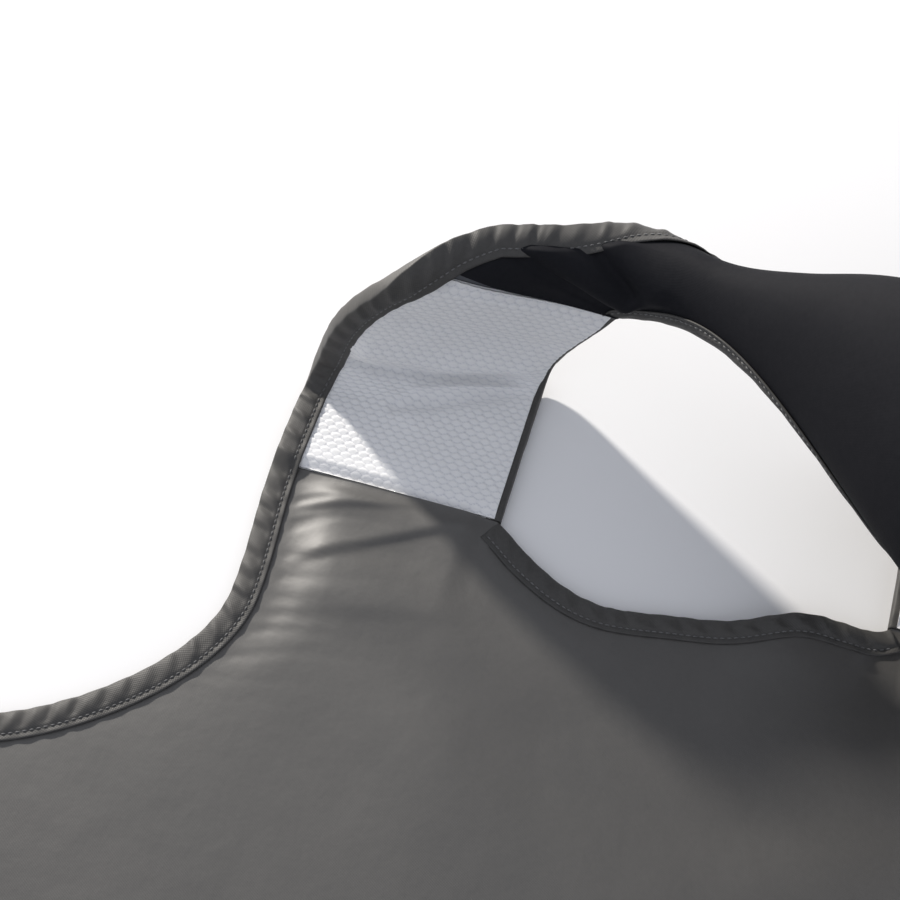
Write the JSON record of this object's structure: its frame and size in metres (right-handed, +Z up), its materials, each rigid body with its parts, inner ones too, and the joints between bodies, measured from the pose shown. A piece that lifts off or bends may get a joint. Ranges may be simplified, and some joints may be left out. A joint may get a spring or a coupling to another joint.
{
  "type": "radiation protection apron",
  "caption": "Pull-over lead-vinyl apron lying open with its body side up, mesh shoulder pads and a back flap that rolls over behind the neck opening.",
  "frame": {"origin": "on the surface the apron lies on, midway between the two front shoulder seams, in the neck opening", "axes": "+X across the apron to the right in the picture, +Y from the hem towards the neck and the back flap, +Z up from the surface"},
  "size_m": [0.7022, 0.8732, 0.2546],
  "materials": {
    "nylon": "coated plain-weave nylon, charcoal, slightly shiny",
    "binding_tape": "folded nylon binding tape, charcoal, puckered by its stitching",
    "spacer_mesh": "white honeycomb spacer mesh",
    "lead_vinyl": "matt lead-filled vinyl sheet",
    "foam": "soft open-cell foam"
  },
  "bodies": {
    "front_panel": {"front_cover": "nylon", "front_outer_ply": "lead_vinyl", "front_inner_ply": "lead_vinyl", "front_lining": "nylon", "front_neck_binding": "binding_tape", "left_armhole_binding": "binding_tape", "right_armhole_binding": "binding_tape", "hem_binding": "binding_tape"},
    "back_assembly": {"left_shoulder_cover": "nylon", "left_shoulder_ply": "lead_vinyl", "left_shoulder_foam": "foam", "left_shoulder_mesh": "spacer_mesh", "left_shoulder_arm_binding": "binding_tape", "left_shoulder_neck_binding": "binding_tape", "right_shoulder_cover": "nylon", "right_shoulder_ply": "lead_vinyl", "right_shoulder_foam": "foam", "right_shoulder_mesh": "spacer_mesh", "right_shoulder_arm_binding": "binding_tape", "right_shoulder_neck_binding": "binding_tape", "back_cover": "nylon", "back_ply": "lead_vinyl", "back_lining": "nylon", "back_neck_binding": "binding_tape", "back_edge_binding": "binding_tape", "back_side_binding": "binding_tape"}
  },
  "joints": [
    {"name": "shoulder_fold", "type": "hinge", "parent": "front_panel", "child": "back_assembly", "pos_m": [0, 0, 0.0064], "axis": [1, 0, 0], "range_deg": [0, 35]}
  ]
}
